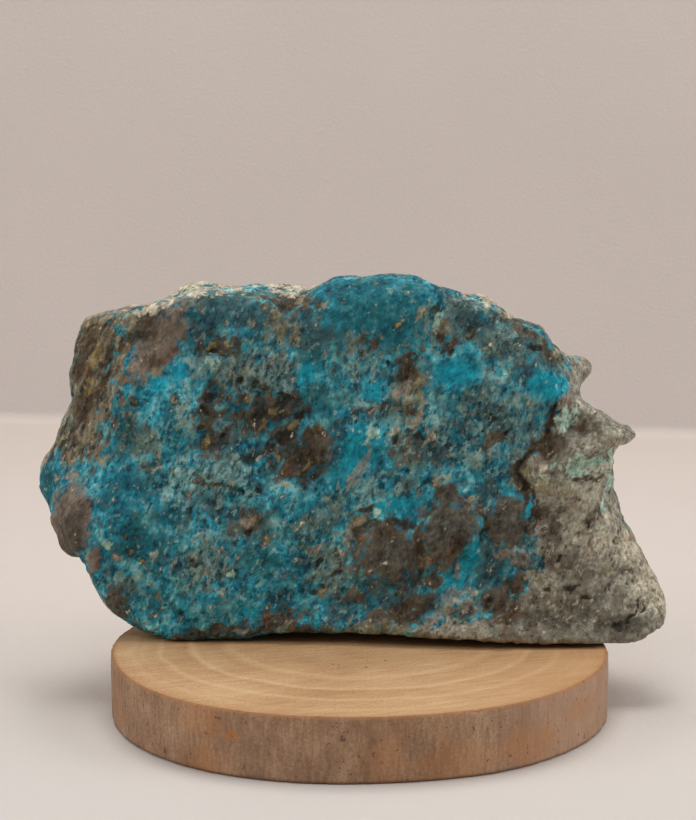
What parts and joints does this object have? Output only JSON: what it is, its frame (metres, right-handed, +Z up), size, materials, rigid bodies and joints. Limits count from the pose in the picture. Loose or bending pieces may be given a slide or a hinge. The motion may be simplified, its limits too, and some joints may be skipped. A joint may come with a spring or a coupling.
{
  "type": "rough turquoise specimen in host rock on a wooden slice stand",
  "caption": "Rough slab of turquoise in grey host rock, standing on its long edge on a round slice of a branch.",
  "frame": {"origin": "on the underside of the wooden slice, under the middle of the stone's length", "axes": "+Z up, +X along the stone's long edge to the right as its blue face is seen, and the blue face looks along -Y"},
  "size_m": [0.1002, 0.0754, 0.0676],
  "materials": {
    "turquoise_in_rock": "rough teal turquoise with dark pits, tan and gold grains and patches of grey-brown host rock, matte with a slight sheen on the blue",
    "pale_wood": "sawn end grain with faint growth rings, unvarnished, and thin grey-brown bark round the edge"
  },
  "bodies": {
    "root": {"turquoise_stone": "turquoise_in_rock", "wood_slice": "pale_wood"}
  },
  "joints": []
}
